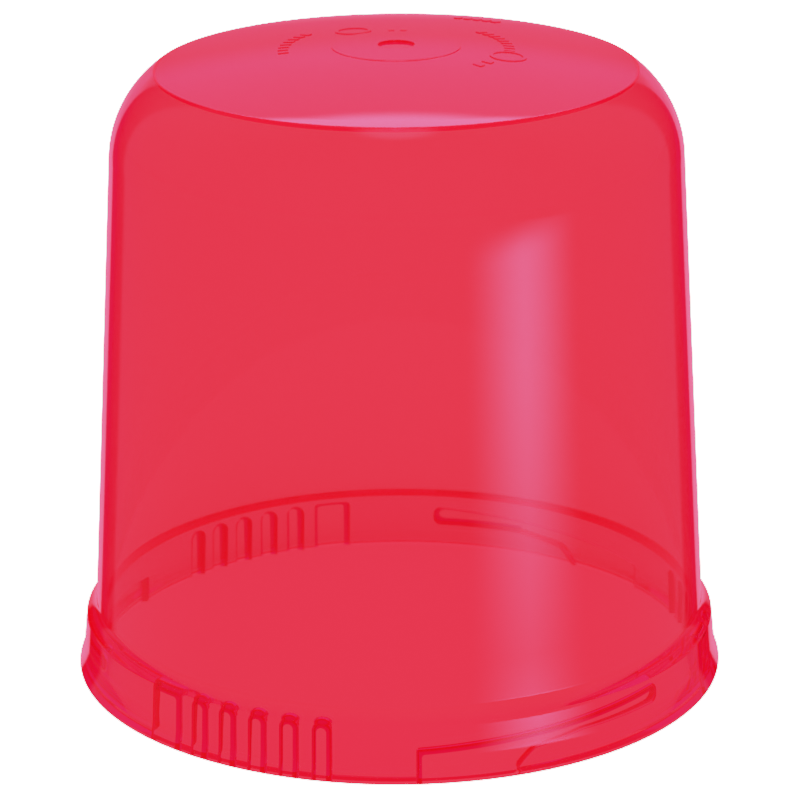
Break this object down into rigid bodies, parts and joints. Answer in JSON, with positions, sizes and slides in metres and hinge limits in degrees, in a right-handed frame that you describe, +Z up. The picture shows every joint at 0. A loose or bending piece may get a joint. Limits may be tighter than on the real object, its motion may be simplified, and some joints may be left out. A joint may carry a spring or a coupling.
{
  "type": "beacon dome lens",
  "caption": "Hollow transparent dome lens for a rotating warning beacon, open at the foot, with a thick bayonet collar that twists onto the lamp base.",
  "frame": {"origin": "centre of the open rim, on the plane that rests on the lamp base", "axes": "+Z up along the axis of the dome towards the crown; -Y is the front, the side that the bayonet stop edge faces; +X to the right seen from the front"},
  "size_m": [0.166, 0.166, 0.1618],
  "materials": {
    "lens_plastic": "clear gloss, red tinted through, transparent polycarbonate"
  },
  "bodies": {
    "root": {"dome_lens": "lens_plastic"}
  },
  "joints": []
}
